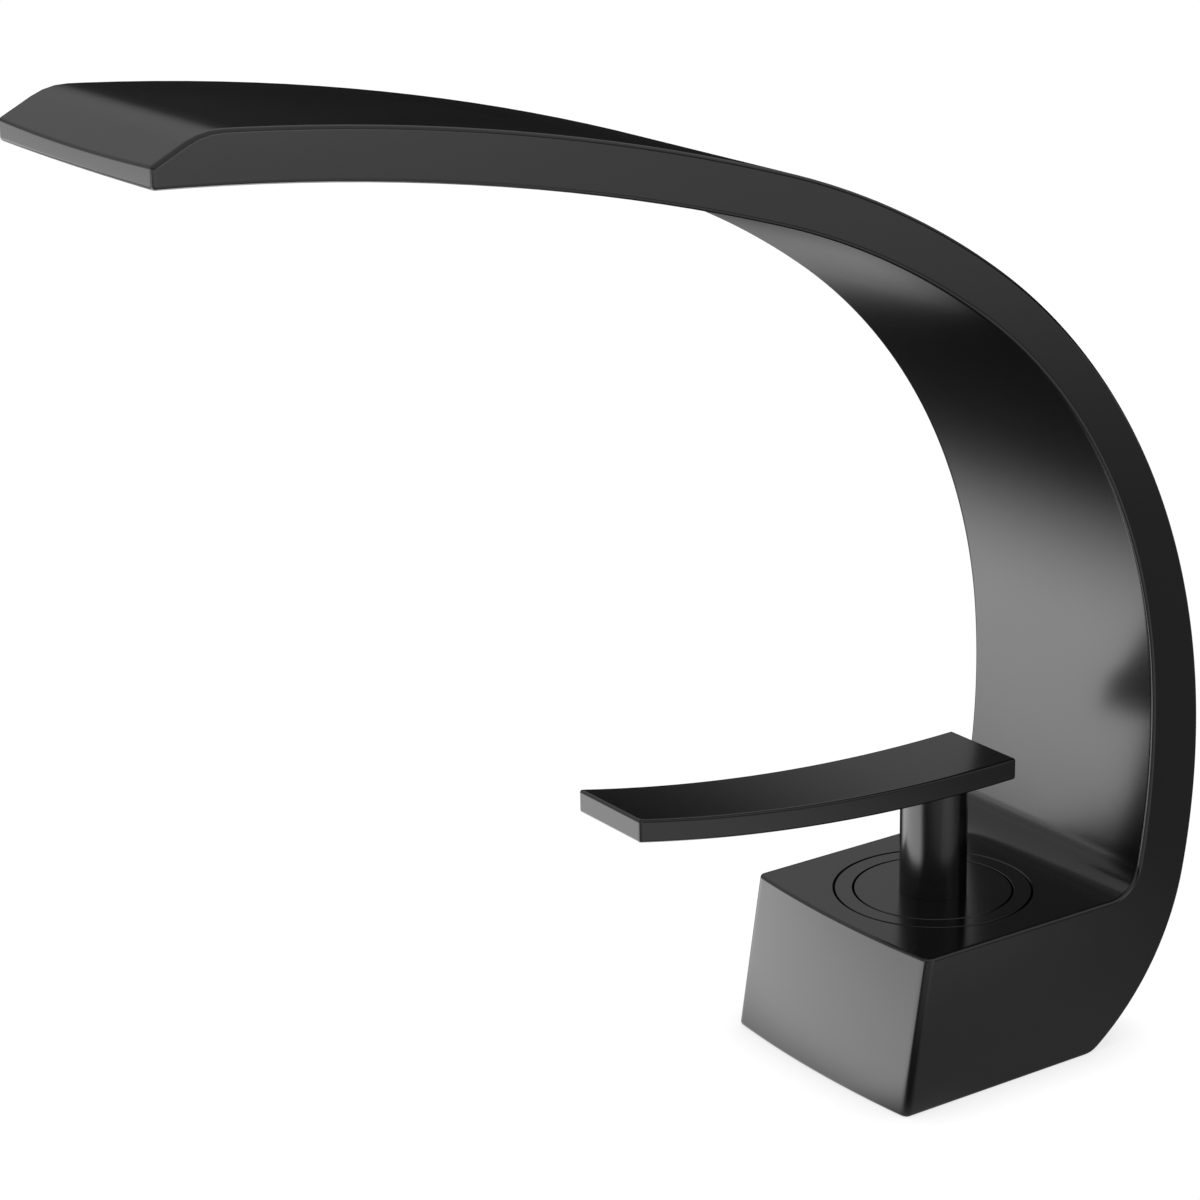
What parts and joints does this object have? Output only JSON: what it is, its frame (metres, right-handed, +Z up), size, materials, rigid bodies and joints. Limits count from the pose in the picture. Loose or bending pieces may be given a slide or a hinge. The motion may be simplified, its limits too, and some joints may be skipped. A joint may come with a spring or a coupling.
{
  "type": "bathroom mixer faucet",
  "caption": "Black single-lever basin mixer with a square base, a flat blade-shaped neck curving into a long spout, and a flat lever on a round post.",
  "frame": {"origin": "where the handle's turning axis meets the underside of the base", "axes": "+Z up, the spout points along -Y, X is across the body"},
  "size_m": [0.05, 0.2077, 0.1926],
  "materials": {
    "black_coated_metal": "satin black coating",
    "brass_inside": "machined",
    "steel": "bright",
    "rubber": "matt",
    "cartridge_plastic": "moulded",
    "rotor_plastic": "moulded",
    "ceramic": "lapped ceramic",
    "black_plastic": "moulded"
  },
  "bodies": {
    "fixed_body": {"faucet_body": "black_coated_metal", "base_seal": "rubber", "cover_ring": "black_coated_metal", "cover_ring_o_ring": "rubber", "retaining_nut": "brass_inside", "cartridge_housing": "cartridge_plastic", "cartridge_base": "cartridge_plastic", "cartridge_port_seals": "rubber", "disc_gasket": "rubber", "fixed_ceramic_disc": "ceramic", "outlet_plate": "steel", "outlet_straightener": "cartridge_plastic", "outlet_seal": "rubber", "outlet_screws": "steel"},
    "rotor": {"cartridge_rotor": "rotor_plastic", "pivot_pin": "steel"},
    "sliding_disc": {"moving_ceramic_disc": "ceramic", "disc_carrier": "rotor_plastic"},
    "handle": {"spindle": "steel", "handle_base": "black_coated_metal", "handle_post": "black_coated_metal", "handle_grub_screw": "steel", "grub_screw_plug": "black_plastic", "lever_plate": "black_coated_metal", "lever_screw": "steel", "lever_locating_pin": "steel"}
  },
  "joints": [
    {"name": "temperature_turn", "type": "hinge", "parent": "fixed_body", "child": "rotor", "pos_m": [0, 0, 0.0245], "axis": [0, 0, 1], "range_deg": [-45, 45]},
    {"name": "flow_lift", "type": "hinge", "parent": "rotor", "child": "handle", "pos_m": [0, 0, 0.0245], "axis": [-1, 0, 0], "range_deg": [0, 20]},
    {"name": "disc_slide", "type": "slide", "parent": "rotor", "child": "sliding_disc", "axis": [0, -1, 0], "range_m": [0, 0.0033]}
  ],
  "couplings": [
    {"joint": "disc_slide", "follows": "flow_lift", "m_per_rad": 0.0089}
  ]
}
